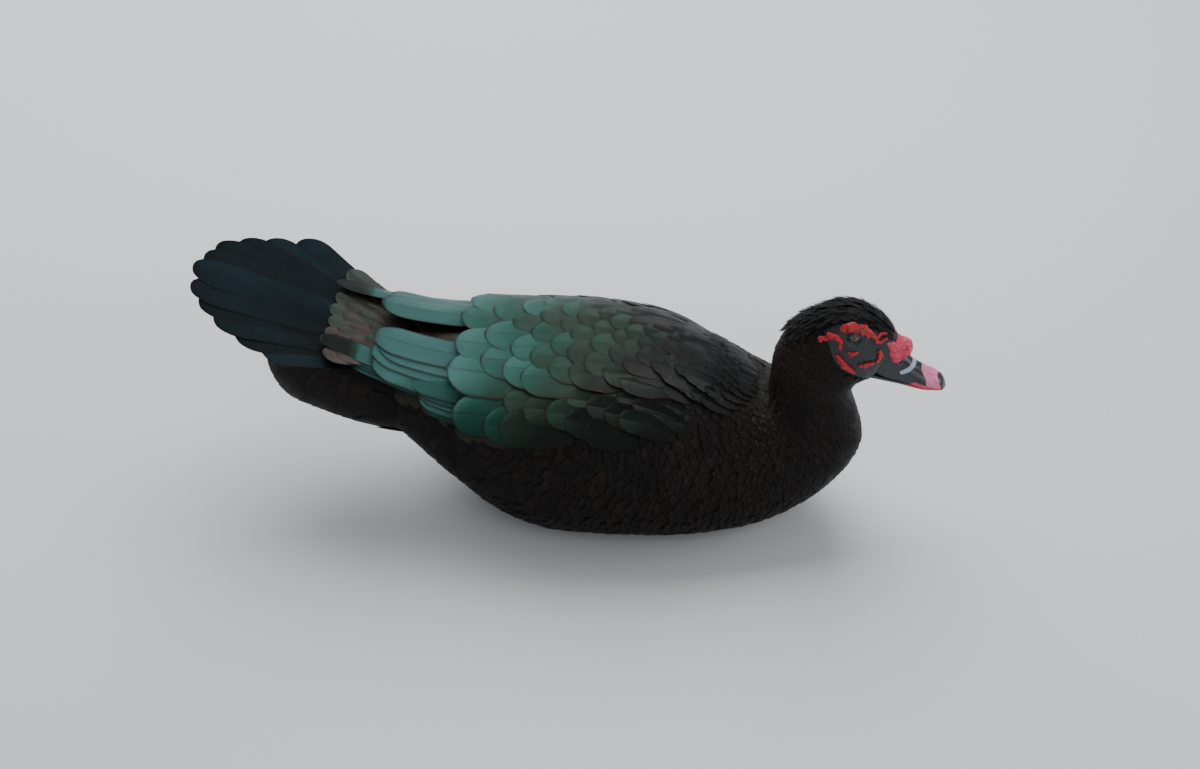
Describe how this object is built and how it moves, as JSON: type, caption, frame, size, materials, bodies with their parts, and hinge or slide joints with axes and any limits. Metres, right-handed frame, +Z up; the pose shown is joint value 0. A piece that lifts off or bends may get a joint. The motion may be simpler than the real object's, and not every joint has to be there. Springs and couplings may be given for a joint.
{
  "type": "muscovy duck model",
  "caption": "Life-size still model of a muscovy drake resting on its belly as it sits on water, with wings folded, tail raised and feet tucked under.",
  "frame": {"origin": "centre line of the belly's flat, on the floor, under the middle of the body", "axes": "+X towards the bill, +Y to the duck's left, +Z up"},
  "size_m": [0.7047, 0.2242, 0.2542],
  "materials": {
    "body_feathers": "soft short feathers, brown-black with a bronze glint",
    "wing_feathers": "smooth feathers, blue-green with a metallic sheen and thin dark rims",
    "tail_feathers": "smooth feathers, black with a green-blue sheen",
    "face_skin": "bare skin, near black with grey-blue",
    "red_skin": "bare warty skin, crimson, slightly glossy",
    "knob_skin": "bare skin, pink-red with darker speckles",
    "bill_horn": "horn, blue-black with a pale blue-white band, satin",
    "bill_pink": "horn, pink along the lower half, satin",
    "bill_nail": "horn, black, smooth",
    "eye": "amber-brown iris and a black pupil under a clear glossy eye",
    "foot_skin": "scaled skin, dark olive-grey"
  },
  "bodies": {
    "root": {"torso": "body_feathers", "neck": "body_feathers", "head": "face_skin", "crest": "body_feathers", "caruncles_left": "red_skin", "caruncles_right": "red_skin", "eye_left": "eye", "eye_right": "eye", "bill_knob": "knob_skin", "bill_upper": "bill_horn", "bill_lower": "bill_pink", "bill_nail": "bill_nail", "wing_left": "wing_feathers", "wing_right": "wing_feathers", "scapulars_left": "wing_feathers", "scapulars_right": "wing_feathers", "tail": "tail_feathers", "tail_coverts_upper": "tail_feathers", "tail_coverts_under": "body_feathers", "foot_left": "foot_skin", "foot_right": "foot_skin"}
  },
  "joints": []
}
